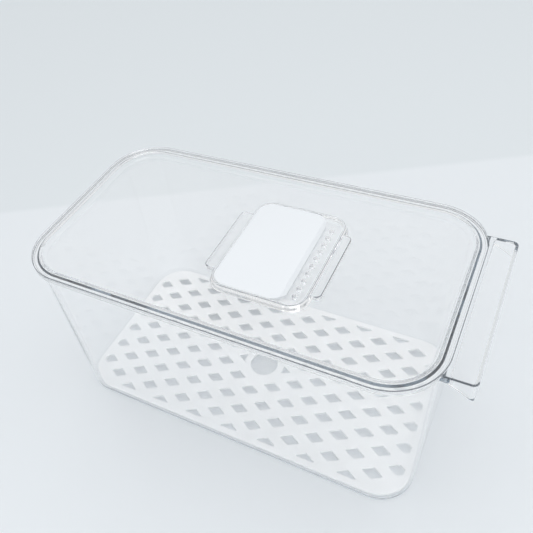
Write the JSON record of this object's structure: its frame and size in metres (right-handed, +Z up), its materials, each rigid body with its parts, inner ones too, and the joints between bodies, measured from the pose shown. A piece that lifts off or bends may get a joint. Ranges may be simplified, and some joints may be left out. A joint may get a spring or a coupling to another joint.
{
  "type": "refrigerator storage bin",
  "caption": "Clear lidded refrigerator bin with a cup handle at one end, a sliding white vent in the lid and a lift-out white lattice drain tray.",
  "frame": {"origin": "centre of the bin's flat resting face, on the surface that it stands on; the handle is not counted in finding the centre", "axes": "+X along the bin's length towards the cup handle, +Y across the bin, +Z up out of the bin through the lid"},
  "size_m": [0.3377, 0.174, 0.161],
  "materials": {
    "clear_plastic": "polished clear moulding",
    "white_slider": "fine satin moulding",
    "white_tray": "satin moulding"
  },
  "bodies": {
    "bin": {"bin_tub": "clear_plastic"},
    "lid_assembly": {"lid": "clear_plastic", "vent_frame": "clear_plastic"},
    "slider": {"vent_slider": "white_slider"},
    "tray": {"drain_tray": "white_tray"}
  },
  "joints": [
    {"name": "lid_lift", "type": "slide", "parent": "bin", "child": "lid_assembly", "axis": [0, 0, 1], "range_m": [0, 0.1]},
    {"name": "vent_slide", "type": "slide", "parent": "lid_assembly", "child": "slider", "axis": [1, 0, 0], "range_m": [0, 0.013]},
    {"name": "tray_lift", "type": "slide", "parent": "bin", "child": "tray", "axis": [0, 0, 1], "range_m": [0, 0.14]}
  ]
}
